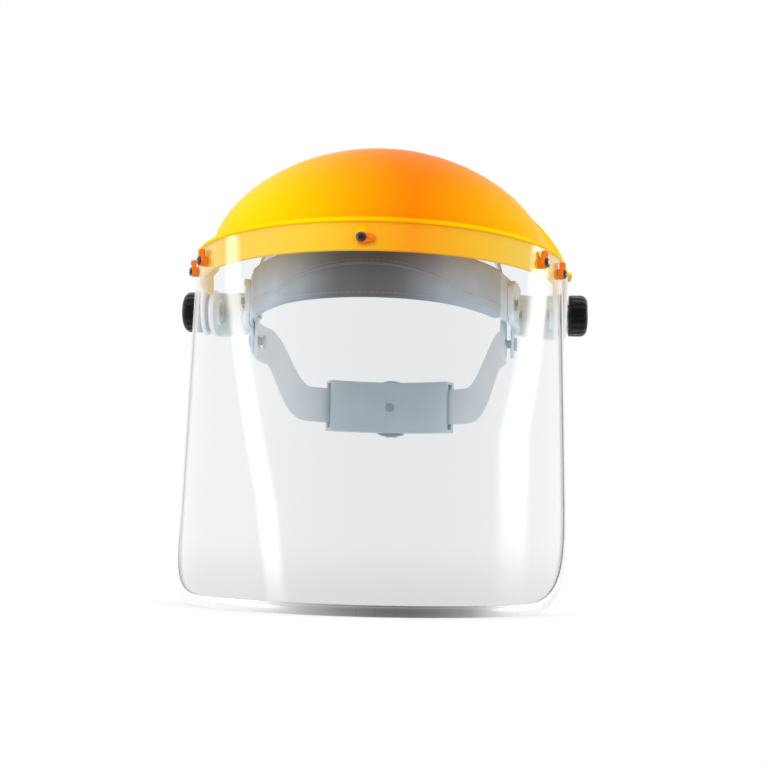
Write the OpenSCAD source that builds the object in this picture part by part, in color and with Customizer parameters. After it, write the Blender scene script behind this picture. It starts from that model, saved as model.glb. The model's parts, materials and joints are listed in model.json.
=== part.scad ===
// Browguard face shield: a half-crown shell with a clear bound visor that lifts on an adjustable headgear.
// Frame: millimetres, +Z up, the wearer faces -Y. The origin is midway between the two temple pivots.

/* [Visor] */
// Length of the flat visor sheet, bent round the band
sheet_len = 318; // [316:1:382]
// Height of the visor sheet
sheet_h = 203; // [150:1:230]
// Thickness of the visor sheet
sheet_t = 1; // [0.8:0.1:1.2]
// How much wider the sheet stands at its lower edge, in radius
sheet_flare = 4; // [0:0.5:7]
// Radius of the two lower corners of the sheet
corner_r = 60; // [20:1:60]
// Width of the metal binding on the visor edge
bind_w = 6; // [4:0.5:9]

/* [Crown] */
// Outer radius of the band that the visor wraps round
band_r = 110.2; // [109:0.1:111]
// Height of the band under the ledge
band_h = 15.2; // [14:0.1:18]
// Half width of the dome at the ledge
dome_r = 104; // [101:0.5:106]
// Rise of the dome above the ledge
dome_rise = 70; // [66:1:80]
// Half width of the shell at its rear edge
rear_half = 119; // [117:0.5:120]
// Rise of the shell at its rear edge
rear_rise = 78; // [74:1:84]
// Wall thickness of the shell
shell_t = 2.4; // [1.8:0.1:2.6]

/* [Pivots] */
// Distance of the rim centre in front of the pivots
rim_fore = 33; // [32:0.5:36]
// Height of the ledge above the pivots
rim_up = 23; // [22:0.5:26]
// Diameter of the pivot bolts
bolt_d = 6; // [5:0.5:6]
// Diameter of the pivot knobs
pivot_knob_d = 26.5; // [22:0.5:28]

/* [Headgear] */
// Inner half width of the headband at the temples
head_half = 82; // [82:0.5:84]
// Height of the headband
headband_h = 27; // [24:1:28]
// Wall thickness of the headband
headband_t = 2; // [1.6:0.1:2]
// Width of the crown strap
crown_strap_w = 18; // [14:1:19]

/* [Nape] */
// Height of the nape straps
nape_h = 24; // [22:1:25]
// Drop from the temple pins to the back of the head
nape_drop = 34; // [28:1:38]
// Diameter of the ratchet knob
ratchet_knob_d = 40; // [36:1:41]

/* [Hidden] */
$fn = 96;

// Running clearance on a radius
run = 0.05;
// Clearance between parts that only lie side by side
gap = 0.3;

// Rim and visor
rim_y = -rim_fore;
rim_z = rim_up;
sheet_r = band_r + 0.2;
sheet_half_angle = sheet_len / 2 / (sheet_r + sheet_t / 2) * 180 / PI;
sheet_top = -0.3;
tail_y = rim_y - (sheet_r + sheet_flare) * cos(sheet_half_angle);
foot_z = rim_z + sheet_top - sheet_h;
ledge_t = 2.4;
ledge_r = band_r + 1.6;
band_t = 2.6;
band_tail = 12;
rear_run = 38;
mid_run = 16;
mid_half = dome_r + 3;
mid_rise = dome_rise + 2.5;

// Latches: angle round the rim, direction of the closed tab, direction of its slot
latch_z = rim_z - 9.3;
latch_angles = [0, -60, -76, 60, 76];
rivet_r = 1.5;
tab_reach = 5.4;
latch_face = sheet_r + sheet_t + 0.6;
latch_t = 2.6;

// Pivot stack, as distances from the middle plane
pad_in = 108.5;
arm_t = 3;
arm_half = 14.5;
pad_out = pad_in + arm_t;
stop_out = pad_out + 2;
ear_in = stop_out + 0.6;
ear_out = ear_in + shell_t;
knob_in = ear_out + 1.6;
knob_out = knob_in + 11.7;
bolt_r = bolt_d / 2;

// Head oval: a front arc and two side arcs, tangent to each other
side_r = 150;
oval_y = -2;
oval_len = 116;
front_r = (2 * side_r * head_half - head_half * head_half - oval_len * oval_len) / (2 * (side_r - oval_len));
front_y = oval_y - (oval_len - front_r);
side_x = side_r - head_half;
front_angle = atan(side_x / (oval_len - front_r));
headband_top = 16;
headband_bottom = headband_top - headband_h;
tail_len = 10;
pin_z = -19;
pin_r = 2.5;

// Nape: everything turns about the vertical line through the oval's widest point
inner_strap = [77.8, 79.5];
outer_strap = [79.8, 81.5];
rear_z = pin_z - nape_drop;
pitch_r = 7.2;
teeth = 9;
strap_ratio = pitch_r / 79.65;
window_half = 16;
slot_half = 9;
housing_half = 32;
shaft_r = 4;
knob_face = 85;

// Turns a flat outline drawn in Y and Z into a slab between two X positions
module along_x(x0, x1) {
    translate([x0, 0, 0]) rotate([90, 0, 90]) linear_extrude(x1 - x0) children();
}

// A round bar or hole along X
module bar_x(x0, x1, r) {
    translate([x0, 0, 0]) rotate([0, 90, 0]) cylinder(h = x1 - x0, r = r);
}

// A round bar or hole along Y, measured from the nape's vertical line
module bar_y(y0, y1, r) {
    translate([0, oval_y + y0, rear_z]) rotate([-90, 0, 0]) cylinder(h = y1 - y0, r = r);
}

// A part and its mirror image on the other side of the head
module both_sides() {
    children();
    mirror([1, 0, 0]) children();
}

// A washer along X
module ring_x(x0, x1, r, bore) {
    difference() {
        bar_x(x0, x1, r);
        bar_x(x0 - 1, x1 + 1, bore);
    }
}

// Places a part on the rim, with its own +Z pointing outwards and +Y pointing up
module on_rim(a) {
    translate([0, rim_y, latch_z]) rotate([0, 0, a]) rotate([90, 0, 0]) children();
}

// A sector of a ring between two angles, where 0 is the back (+Y) and positive is the wearer's left (+X)
module nape_sector(r0, r1, z0, z1, a0, a1) {
    translate([0, oval_y, 0]) rotate([0, 0, 90 - a1]) rotate_extrude(angle = a1 - a0, $fn = 192)
        translate([r0, z0]) square([r1 - r0, z1 - z0]);
}

// ---------- crown ----------

// Quarter outline of the dome, slightly leaner than an ellipse
dome_power = 2 / 1.85;
function dome_arc(a, b, n = 26) =
    [for (i = [0 : n]) [a * pow(cos(90 * i / n), dome_power), b * pow(sin(90 * i / n), dome_power)]];

module dome_front(a, b) {
    translate([0, rim_y, rim_z]) rotate([0, 0, 180]) rotate_extrude(angle = 180, $fn = 128)
        polygon(concat([[0, 0]], dome_arc(a, b)));
}

// A thin upright slice of the shell, for the run back to the ears
module shell_slice(a, b, y) {
    translate([0, rim_y + y, rim_z]) rotate([90, 0, 0]) linear_extrude(0.01) union() {
        polygon(concat([[0, 0]], dome_arc(a, b)));
        mirror([1, 0]) polygon(concat([[0, 0]], dome_arc(a, b)));
    }
}

module shell_rear(t) {
    hull() {
        shell_slice(dome_r - t, dome_rise - t, 0.01);
        shell_slice(mid_half - t, mid_rise - t, mid_run);
    }
    hull() {
        shell_slice(mid_half - t, mid_rise - t, mid_run);
        shell_slice(rear_half - t, rear_rise - t, rear_run);
    }
}

// Ledge and band round the front, which carry the visor
module crown_band() {
    half = 90 + asin(band_tail / band_r);
    translate([0, rim_y, rim_z]) rotate([0, 0, -90 - half]) rotate_extrude(angle = 2 * half, $fn = 192)
        polygon([[dome_r - shell_t, 0], [band_r - band_t, 0], [band_r - band_t, -band_h], [band_r, -band_h],
            [band_r, 0], [ledge_r, 0], [ledge_r, ledge_t - 0.8], [ledge_r - 1, ledge_t],
            [dome_r - shell_t, ledge_t]]);
}

// Flat ledge beside the ears, and the ear plate that hangs from it
module crown_ear() {
    difference() {
        union() {
            translate([0, rim_y, rim_z + 0.1]) linear_extrude(ledge_t - 0.3)
                polygon([[dome_r - shell_t + 0.5, 2], [ledge_r - 0.5, 2], [ledge_r - 0.8, 9], [ledge_r + 0.6, 15],
                    [ear_out, 19], [rear_half + 1, 33], [rear_half, rear_run], [ear_in - 1, rear_run],
                    [mid_half - shell_t, mid_run]]);
            along_x(ear_in, ear_out) union() {
                circle(r = 15);
                polygon([[-15, 0], [-14, rim_z + 1], [5, rim_z + 1], [14.2, 4.8]]);
            }
        }
        bar_x(ear_in - 5, ear_out + 5, bolt_r + run);
    }
}

module crown_shell() {
    color([1, 0.68, 0.02]) difference() {
        union() {
            difference() {
                union() {
                    dome_front(dome_r, dome_rise);
                    shell_rear(0);
                }
                dome_front(dome_r - shell_t, dome_rise - shell_t);
                shell_rear(shell_t);
                along_x(-130, 130) polygon([[rim_y + rear_run, rim_z - 1], [rim_y + 19, rim_z + 95],
                    [rim_y + 80, rim_z + 95], [rim_y + 80, rim_z - 1]]);
            }
            crown_band();
            crown_ear();
            mirror([1, 0, 0]) crown_ear();
        }
        for (a = latch_angles) on_rim(a) translate([0, 0, band_r - 8]) cylinder(h = 16, r = rivet_r + run);
    }
}

// ---------- visor ----------

// The bent sheet, grown by m on both faces
module sheet_form(m) {
    top = rim_z + sheet_top;
    translate([0, rim_y, top]) rotate([0, 0, -90 - sheet_half_angle])
        rotate_extrude(angle = 2 * sheet_half_angle, $fn = 240)
            polygon([[sheet_r - m, 0], [sheet_r + sheet_t + m, 0],
                [sheet_r + sheet_t + sheet_flare + m, -sheet_h], [sheet_r + sheet_flare - m, -sheet_h]]);
}

// Side outline of the sheet, moved inwards by m, with its round lower corner
module side_outline(m) {
    y1 = tail_y - m;
    z0 = foot_z + m;
    r = corner_r - m;
    union() {
        translate([-200, z0 + r]) square([200 + y1, 300]);
        translate([-200, z0]) square([200 + y1 - r, 300]);
        translate([y1 - r, z0 + r]) circle(r = r);
    }
}

// Opening that lets a turned latch through the sheet
module latch_slot(a) {
    turn = a == 0 ? 0 : (a > 0 ? -90 : 90);
    on_rim(a) rotate([0, 0, turn]) translate([0, 0, sheet_r - 3]) linear_extrude(8) union() {
        circle(r = 3.4);
        translate([0, tab_reach]) circle(r = 2.4);
        polygon([[-3.4, 0], [3.4, 0], [2.4, tab_reach], [-2.4, tab_reach]]);
    }
}

module visor_window() {
    color([0.86, 0.92, 0.95, 0.35]) difference() {
        intersection() {
            sheet_form(0);
            along_x(-140, 140) side_outline(0.6);
        }
        for (a = latch_angles) latch_slot(a);
    }
}

module visor_binding() {
    bind_top = 4;
    color("silver") difference() {
        intersection() {
            sheet_form(0.6);
            along_x(-140, 140) side_outline(0);
        }
        intersection() {
            sheet_form(0.02);
            along_x(-140, 140) side_outline(0.55);
        }
        along_x(-140, 140) side_outline(bind_w);
        translate([-150, -200, bind_top]) cube([300, 300, 100]);
    }
}

// ---------- latches ----------

// A turn button: a flat tab on a boss that fills the slot in the sheet
module latch(a, turn) {
    color([1, 0.6, 0.02]) on_rim(a) rotate([0, 0, turn]) difference() {
        union() {
            translate([0, 0, band_r + 0.2]) cylinder(h = latch_face - band_r, r = 2.9);
            translate([0, 0, latch_face]) cylinder(h = latch_t, r = 3);
            translate([0, tab_reach, latch_face]) cylinder(h = latch_t, r = 2);
            translate([0, 0, latch_face]) linear_extrude(latch_t)
                polygon([[-3, 0], [3, 0], [2, tab_reach], [-2, tab_reach]]);
            translate([0, tab_reach, latch_face + latch_t]) cylinder(h = 0.8, r1 = 1.8, r2 = 1.2);
        }
        translate([0, 0, band_r - 2]) cylinder(h = 12, r = rivet_r + run);
    }
}

module latch_front() { latch(0, -90); }
module latch_left_fore() { latch(60, 0); }
module latch_left_aft() { latch(76, 0); }
module latch_right_fore() { latch(-60, 0); }
module latch_right_aft() { latch(-76, 0); }

module latch_rivets() {
    head = latch_face + latch_t + 0.1;
    color("dimgray") for (a = latch_angles) on_rim(a) {
        translate([0, 0, band_r - band_t - 1.9]) cylinder(h = head - band_r + band_t + 2, r = rivet_r);
        translate([0, 0, band_r - band_t - 1.9]) cylinder(h = 0.7, r = 2.8);
        translate([0, 0, head]) cylinder(h = 0.7, r = 2.7);
        translate([0, 0, head + 0.7]) cylinder(h = 0.8, r1 = 2.7, r2 = 1.5);
    }
}

module latch_washers() {
    color("silver") for (a = latch_angles) on_rim(a) difference() {
        translate([0, 0, band_r - band_t - 1.15]) cylinder(h = 1, r = 3.5);
        translate([0, 0, band_r - band_t - 2]) cylinder(h = 3, r = rivet_r + run);
    }
}

// ---------- headband and sweatband ----------

// Points of the head oval, d outside its inner face, from the middle of the forehead to one temple
function half_oval(d, n = 12) = concat(
    [for (i = [0 : n]) let (a = front_angle * i / n)
        [(front_r + d) * sin(a), front_y - (front_r + d) * cos(a)]],
    [for (i = [1 : n]) let (a = (front_angle - 90) * (1 - i / n))
        [(side_r + d) * cos(a) - side_x, oval_y + (side_r + d) * sin(a)]],
    [[head_half + d, oval_y + tail_len]]);
function oval(d) = let (p = half_oval(d))
    concat([for (i = [len(p) - 1 : -1 : 1]) [-p[i][0], p[i][1]]], p);
function reversed(list) = [for (i = [len(list) - 1 : -1 : 0]) list[i]];

// Hole positions along the side of the headband, as distances in front of the temple pin
arm_rivet_y = [oval_y - 33, oval_y + 4];
hook_y = oval_y - 15.5;
hook_z = 8;
brow_end = oval_y - 52;

module headband() {
    tab_r = 9;
    color([0.3, 0.32, 0.35]) difference() {
        intersection() {
            translate([0, 0, pin_z - tab_r]) linear_extrude(headband_top - pin_z + tab_r)
                polygon(concat(oval(headband_t), reversed(oval(0))));
            along_x(-100, 100) union() {
                translate([-200, headband_bottom]) square([250, headband_h]);
                translate([oval_y, pin_z]) circle(r = tab_r);
                translate([oval_y - tab_r, pin_z]) square([2 * tab_r, headband_bottom - pin_z + 1]);
            }
        }
        both_sides() {
            translate([0, oval_y, pin_z]) bar_x(head_half - 4, head_half + 6, pin_r + run);
            translate([0, hook_y, hook_z]) bar_x(head_half - 8, head_half + 6, 2.5 + run);
            for (y = arm_rivet_y) translate([0, y, 0]) bar_x(head_half - 10, head_half + 6, 2 + run);
        }
    }
}

// Part of the sweatband: a run of the head oval between two offsets and two heights, in front of the arms
module brow_run(d0, d1, z0, z1) {
    translate([0, 0, z0]) linear_extrude(z1 - z0) intersection() {
        polygon(concat(oval(d1), reversed(oval(d0))));
        translate([-100, -150]) square([200, 150 + brow_end]);
    }
}

// Pad inside the forehead, folded over both edges of the band to a seam on the front
module sweatband() {
    z0 = headband_bottom - 1.6;
    z1 = headband_top + 1.6;
    seam_z = headband_top - 10.5;
    flap_d = headband_t + gap;
    color([0.28, 0.29, 0.31]) union() {
        brow_run(-4.8, -gap, z0, z1);
        brow_run(-gap - 0.1, flap_d + 0.1, headband_top + gap, z1);
        brow_run(-gap - 0.1, flap_d + 0.1, z0, headband_bottom - gap);
        brow_run(flap_d, headband_t + 1.6, z0, seam_z - 0.3);
        brow_run(flap_d, headband_t + 1.6, seam_z, z1);
    }
}

// ---------- arms ----------

// Plan of the arm: along the headband, out behind the pivot, then forward again as the pivot pad
arm_back = 10;
function arm_side(d) = [for (a = [-15 : 3 : 0])
    [(side_r + headband_t + 0.1 + d) * cos(a) - side_x, oval_y + (side_r + headband_t + 0.1 + d) * sin(a)]];

module arm() {
    in0 = head_half + headband_t + 0.1;
    color([0.36, 0.38, 0.41]) difference() {
        union() {
            translate([0, 0, -arm_half]) linear_extrude(2 * arm_half) polygon(concat(arm_side(0),
                [[in0, arm_back - 1], [in0 + 1, arm_back], [pad_out - 1, arm_back], [pad_out, arm_back - 1],
                [pad_out, -arm_half], [pad_in, -arm_half], [pad_in, arm_back - arm_t],
                [in0 + arm_t, arm_back - arm_t]],
                reversed(arm_side(arm_t))));
            bar_x(pad_in - 2.6, pad_in + 0.5, 8.5);
        }
        along_x(pad_in - 0.1, pad_out + 1) difference() {
            translate([-20, -20]) square([20, 40]);
            circle(r = arm_half);
        }
        translate([0, -60, -20]) cube([in0 + arm_t + 2, 60 + arm_back - arm_t, 20 + headband_bottom - 0.5]);
        bar_x(pad_in - 10, pad_out + 2, bolt_r + run);
        bar_x(pad_in - 10, pad_in - 1.4, 6.1);
        for (y = arm_rivet_y) translate([0, y, 0]) bar_x(in0 - 10, in0 + 8, 2 + run);
        translate([0, hook_y, hook_z]) bar_x(in0 - 8, in0 + 8, 4.4);
    }
}

module arm_left() { arm(); }
module arm_right() { mirror([1, 0, 0]) arm(); }

// Where the outer face of the headband stands at a given Y
function band_x(y) = sqrt(pow(side_r + headband_t, 2) - pow(min(y - oval_y, 0), 2)) - side_x;

module arm_rivets() {
    color("silver") for (s = [0, 1]) mirror([s, 0, 0]) for (y = arm_rivet_y) translate([0, y, 0]) {
        bar_x(band_x(y) - 3.2, band_x(y) + 4.6, 2);
        bar_x(band_x(y) - 4.1, band_x(y) - 3.1, 3.6);
        bar_x(band_x(y) + 4, band_x(y) + 5, 3.6);
    }
}

// ---------- crown strap ----------

strap_z = 5;
strap_y0 = -27;
strap_lap = 20;

// One half of the strap over the head, as an arch that starts upright at the temple
module strap_half(r0, r1, foot) {
    translate([0, strap_y0 + crown_strap_w, strap_z]) rotate([90, 0, 0]) union() {
        rotate_extrude(angle = 90 + strap_lap, $fn = 192) translate([r0, 0]) square([r1 - r0, crown_strap_w]);
        translate([r0, foot - strap_z, 0]) cube([r1 - r0, strap_z - foot, crown_strap_w]);
    }
}

// Hook button that snaps into the headband
module strap_hook(x0) {
    translate([0, hook_y, hook_z]) {
        bar_x(x0, band_x(hook_y) + 1, 2.5);
        bar_x(band_x(hook_y) + 0.3, band_x(hook_y) + 2, 3.4);
    }
}

module crown_strap_left() {
    peg_a = 90 + 6;
    color([0.42, 0.45, 0.5]) {
        difference() {
            strap_half(75.8, 77.6, -1);
            for (a = [90 - 12, 90 - 4]) strap_hole(a);
        }
        strap_hook(76.5);
        translate([0, strap_y0 + crown_strap_w / 2, strap_z]) rotate([0, 90 - peg_a, 0])
            translate([0, 0, 77]) cylinder(h = 3.6, r = 2.4);
    }
}

module strap_hole(a) {
    translate([0, strap_y0 + crown_strap_w / 2, strap_z]) rotate([0, 90 - a, 0])
        translate([0, 0, 70]) cylinder(h = 16, r = 2.5);
}

module crown_strap_right() {
    color([0.42, 0.45, 0.5]) {
        difference() {
            mirror([1, 0, 0]) strap_half(77.8, 79.6, -1);
            for (a = [88, 96, 104]) strap_hole(a);
        }
        mirror([1, 0, 0]) strap_hook(78.5);
    }
}

// ---------- pivots ----------

module pivot_bolts() {
    color("silver") both_sides() {
        bar_x(pad_in - 1.6, knob_out - 3.5, bolt_r);
        bar_x(pad_in - 4, pad_in - 1.5, 6);
    }
}

module stop_plates() {
    color("dimgray") both_sides() ring_x(pad_out + 0.02, stop_out, 12.5, bolt_r + run);
}

module friction_washers() {
    color("gainsboro") both_sides() ring_x(stop_out + 0.05, ear_in - 0.05, 11, bolt_r + run);
}

module spring_washers() {
    color("silver") both_sides() difference() {
        bar_x(ear_out + 0.1, knob_in - 0.1, 7.5);
        bar_x(ear_out - 1, knob_in + 1, bolt_r + 0.3);
        bar_x(ear_out + 0.8, knob_in + 1, 5.4);
    }
}

// Hand knob: chamfered rim with shallow grip notches, a dished face and a raised hub
module pivot_knob() {
    r = pivot_knob_d / 2;
    color([0.06, 0.06, 0.06]) difference() {
        translate([knob_in, 0, 0]) rotate([0, 90, 0]) rotate_extrude($fn = 96)
            polygon([[4.7, 0], [r - 1.2, 0], [r, 1.2], [r, 8.2], [r - 2, 11], [r - 3.4, 11.7], [r - 4.4, 11.2],
                [r - 5.2, 9.6], [6.6, 9.2], [6, 11], [4.4, 11.4], [0, 11.4], [0, 9.4], [4.7, 9.4]]);
        for (i = [0 : 17]) rotate([i * 20, 0, 0]) translate([0, 0, r + 0.9]) bar_x(knob_in + 1.6, knob_out + 1, 1.5);
    }
}

module pivot_knob_left() { pivot_knob(); }
module pivot_knob_right() { mirror([1, 0, 0]) pivot_knob(); }

module knob_nut() {
    color("goldenrod") ring_x(knob_in + 0.4, knob_in + 6, 4.65, bolt_r + run);
}

module knob_nut_left() { knob_nut(); }
module knob_nut_right() { mirror([1, 0, 0]) knob_nut(); }

module temple_pins() {
    color([0.25, 0.26, 0.28]) both_sides() translate([0, oval_y, pin_z]) {
        bar_x(inner_strap[0] - 1, head_half + headband_t + 1, pin_r);
        bar_x(inner_strap[0] - 2.2, inner_strap[0] - 0.7, 4.2);
        bar_x(head_half + headband_t + 0.3, head_half + headband_t + 1.8, 4.2);
    }
}

// ---------- nape ----------

// The strap follows a smooth step between its level rear part and its level front part
step_a0 = 42;
step_a1 = 76;
function step_z(a) = rear_z + nape_drop * (1 - cos(180 * (a - step_a0) / (step_a1 - step_a0))) / 2;
function step_lean(a) = atan(nape_drop * PI / 2 * sin(180 * (a - step_a0) / (step_a1 - step_a0))
    / ((step_a1 - step_a0) * PI / 180 * 79));
function step_half(a) = nape_h / 2 / cos(step_lean(a)) * 0.96 + nape_h * 0.02;

// Outline of the strap as seen from behind: level at the back, then up the step, then level again
module back_outline(r) {
    n = 16;
    angles = [for (i = [0 : n]) step_a0 + (step_a1 - step_a0) * i / n];
    polygon(concat(
        [[-60, rear_z - nape_h / 2], [-60, rear_z + nape_h / 2]],
        [for (a = angles) [r * sin(a), step_z(a) + step_half(a)]],
        [for (i = [n : -1 : 0]) [r * sin(angles[i]), step_z(angles[i]) - step_half(angles[i])]]));
}

// Space that the strap keeps to: the outline behind the head, and the level front run beside it
module strap_space(r) {
    x0 = r * sin(step_a1);
    z0 = pin_z - nape_h / 2;
    translate([0, oval_y + 100, 0]) rotate([90, 0, 0]) linear_extrude(100) back_outline(r);
    translate([x0, oval_y, z0]) cube([60, 100, nape_h]);
    translate([20, oval_y - 60, z0]) cube([100, 60, nape_h]);
}

front_a = 90 + 16;
tooth_pitch = 360 / teeth * strap_ratio;

// One nape strap: rack window at the back, step down the side, slotted end round the temple pin
module nape_strap(r0, r1, rack_up) {
    rm = (r0 + r1) / 2;
    s = rack_up ? 1 : -1;
    difference() {
        intersection() {
            nape_sector(r0, r1, rear_z - 30, pin_z + 30, -window_half - 6, front_a);
            strap_space(rm);
        }
        nape_sector(r0 - 1, r1 + 1, rear_z + (rack_up ? -9.3 : -7), rear_z + (rack_up ? 7 : 9.3),
            -window_half, window_half);
        for (i = [-4 : rack_up ? 4 : 3]) rack_gap(r0, (i + (rack_up ? 0 : 0.5)) * tooth_pitch, s);
        nape_sector(r0 - 1, r1 + 1, pin_z - pin_r - run, pin_z + pin_r + run, 88 - slot_half, 92 + slot_half);
    }
}

// Space between two teeth of the rack
module rack_gap(r0, a, s) {
    w = 2 * PI * pitch_r / teeth / 2;
    translate([0, oval_y, rear_z]) rotate([0, 0, -a]) translate([0, r0 - 2, 0]) rotate([-90, 0, 0])
        linear_extrude(6) polygon([[-w + 0.5, -s * 6.5], [-w + 0.5, -s * 7.1], [-w + 1.1, -s * 9.3],
            [w - 1.1, -s * 9.3], [w - 0.5, -s * 7.1], [w - 0.5, -s * 6.5]]);
}

module nape_strap_left() {
    color([0.42, 0.46, 0.52]) nape_strap(inner_strap[0], inner_strap[1], true);
}

module nape_strap_right() {
    color([0.42, 0.46, 0.52]) mirror([1, 0, 0]) nape_strap(outer_strap[0], outer_strap[1], false);
}

house_half = 17.6;
house_z0 = rear_z - house_half;
house_z1 = rear_z + house_half;
flange = 2;

// Inner wall of the ratchet unit with its top and bottom flanges
module ratchet_housing() {
    color([0.4, 0.44, 0.5]) difference() {
        union() {
            nape_sector(75.2, 77.4, house_z0, house_z1, -housing_half, housing_half);
            nape_sector(75.2, 84.4, house_z1 - flange, house_z1, -housing_half, housing_half);
            nape_sector(75.2, 84.4, house_z0, house_z0 + flange, -housing_half, housing_half);
        }
        bar_y(70, 80, 3 + run);
    }
}

module ratchet_cover() {
    color([0.4, 0.44, 0.5]) difference() {
        union() {
            nape_sector(81.9, 84.4, house_z0 + flange + 0.05, house_z1 - flange - 0.05, -housing_half, housing_half);
            bar_y(82.6, 84.6, 9.5);
        }
        bar_y(78, 90, shaft_r + run);
    }
}

// Outline of the pinion: straight-sided teeth on a round root
function pinion_outline() = [for (i = [0 : teeth - 1]) let (a = i * 360 / teeth)
    for (p = [[-20, 5.9], [-9, 5.9], [-3.2, 8.2], [3.2, 8.2], [9, 5.9]])
        [p[1] * sin(a + p[0]), p[1] * cos(a + p[0])]];

module ratchet_pinion() {
    color("whitesmoke") difference() {
        union() {
            translate([0, oval_y + 81.3, rear_z]) rotate([90, 0, 0]) linear_extrude(3.4) polygon(pinion_outline());
            bar_y(75.6, 78, 3);
            bar_y(81, knob_face + 4, shaft_r);
        }
        bar_y(79, knob_face + 5, 1.25);
    }
}

// Adjusting knob with a ribbed rim and inner teeth for the detent spring
module ratchet_knob() {
    r = ratchet_knob_d / 2;
    depth = 13;
    color([0.34, 0.37, 0.42]) difference() {
        translate([0, oval_y + knob_face, rear_z]) rotate([-90, 0, 0]) rotate_extrude($fn = 96)
            polygon([[shaft_r + 0.02, 3], [15.5, 3], [15.5, 0], [r - 0.8, 0], [r, 0.8], [r, depth - 2.4],
                [r - 2.4, depth], [10, depth - 0.8], [4, depth - 1.6], [4, 6], [1.6, 6], [1.6, 4.1],
                [shaft_r + 0.02, 4.1]]);
        for (i = [0 : 23]) translate([0, oval_y, rear_z]) rotate([0, i * 15, 0]) translate([r + 0.7, 0, 0])
            translate([0, knob_face + 2, 0]) rotate([-90, 0, 0]) cylinder(h = depth, r = 1.4);
        for (i = [0 : 23]) translate([0, oval_y, rear_z]) rotate([0, i * 15, 0]) translate([15.4, 0, 0])
            translate([0, knob_face - 1, 0]) rotate([-90, 0, 0]) cylinder(h = 4, r = 1.1);
    }
}

module ratchet_screw() {
    color("silver") {
        bar_y(79.2, knob_face + 6.4, 1.2);
        bar_y(knob_face + 6.1, knob_face + 8, 3.2);
    }
}

// Flat spring under the knob: two arms whose tips ride on the knob's inner teeth
module ratchet_spring() {
    color("lightsteelblue") translate([0, oval_y + knob_face + 2.2, rear_z]) rotate([90, 0, 0]) linear_extrude(1.6)
        difference() {
            union() {
                circle(r = 7.5);
                for (s = [0, 180]) rotate(s) polygon([[0, -2], [13, -1.2], [15.1, 0], [13, 1.2], [0, 2]]);
            }
            circle(r = shaft_r + 0.3);
        }
}

crown_shell();
visor_window();
visor_binding();
latch_rivets();
latch_washers();
latch_front();
latch_left_fore();
latch_left_aft();
latch_right_fore();
latch_right_aft();
headband();
sweatband();
arm_left();
arm_right();
arm_rivets();
crown_strap_left();
crown_strap_right();
temple_pins();
pivot_bolts();
stop_plates();
friction_washers();
spring_washers();
pivot_knob_left();
pivot_knob_right();
knob_nut_left();
knob_nut_right();
nape_strap_left();
nape_strap_right();
ratchet_housing();
ratchet_cover();
ratchet_pinion();
ratchet_knob();
ratchet_screw();
ratchet_spring();
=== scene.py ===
import json
import math

import bmesh
import bpy
from mathutils import Matrix, Vector
from mathutils.bvhtree import BVHTree


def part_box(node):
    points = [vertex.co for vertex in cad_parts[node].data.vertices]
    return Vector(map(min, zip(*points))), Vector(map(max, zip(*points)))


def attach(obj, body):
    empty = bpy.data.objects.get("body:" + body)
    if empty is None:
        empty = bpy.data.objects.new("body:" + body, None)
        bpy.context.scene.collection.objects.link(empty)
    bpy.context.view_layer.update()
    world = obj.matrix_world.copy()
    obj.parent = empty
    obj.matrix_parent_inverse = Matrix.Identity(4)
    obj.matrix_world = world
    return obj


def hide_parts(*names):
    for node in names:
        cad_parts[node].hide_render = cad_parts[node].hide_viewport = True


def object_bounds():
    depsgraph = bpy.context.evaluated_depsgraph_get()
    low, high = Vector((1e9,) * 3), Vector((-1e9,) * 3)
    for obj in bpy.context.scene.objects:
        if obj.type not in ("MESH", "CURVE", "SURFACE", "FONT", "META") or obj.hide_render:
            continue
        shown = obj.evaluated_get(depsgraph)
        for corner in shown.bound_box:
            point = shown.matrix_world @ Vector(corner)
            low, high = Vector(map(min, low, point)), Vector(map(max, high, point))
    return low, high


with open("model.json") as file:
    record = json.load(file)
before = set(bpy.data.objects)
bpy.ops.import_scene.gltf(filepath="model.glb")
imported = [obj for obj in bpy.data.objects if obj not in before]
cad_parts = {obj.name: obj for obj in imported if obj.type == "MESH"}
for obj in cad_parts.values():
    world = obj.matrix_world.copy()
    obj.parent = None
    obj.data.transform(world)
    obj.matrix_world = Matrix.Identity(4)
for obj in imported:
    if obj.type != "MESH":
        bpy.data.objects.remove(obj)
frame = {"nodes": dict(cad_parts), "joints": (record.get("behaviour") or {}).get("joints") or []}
CAD_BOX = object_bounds()
NODES = frame["nodes"]
MM = 0.001
rad = math.radians


def span(name):
    """Lowest and highest corner of a CAD node, in millimetres."""
    lo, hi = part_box(name)
    return [c / MM for c in lo], [c / MM for c in hi]


def joint_pos(name):
    """Where a joint sits, in millimetres."""
    for j in frame["joints"]:
        if j["name"] == name:
            return [c / MM for c in j["pos_m"]]
    raise ValueError(name)


# Sizes shared with the CAD, in millimetres
SHEET_TOP = span("visor_window")[1][2]
BIND_LO, BIND_HI = span("visor_binding")
BAND_TOP = span("headband")[1][2]
SHELL_HALF = span("crown_shell")[1][0]
PIN_Z = joint_pos("nape_tilt")[2]
LATCH_POS = joint_pos("latch_front_turn")
SHEET_R, SHEET_T, FLARE = 110.4, 1.0, 4.0
LATCH_FACE = SHEET_R + SHEET_T + 0.6
RIM_Y = LATCH_POS[1] + LATCH_FACE
RIM_Z = SHEET_TOP + 0.3
LATCH_Z = LATCH_POS[2]
FOOT_Z = BIND_LO[2]
SHEET_H = SHEET_TOP - FOOT_Z
TAIL_Y = BIND_HI[1]
CORNER_R = 60.0
BIND_W, EDGE_GAP = 6.0, 0.62
BAND_R, BAND_IN, BAND_H, BAND_TAIL = 110.2, 107.6, 15.2, 12.0
LEDGE_R, LEDGE_T = 111.8, 2.4
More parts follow.
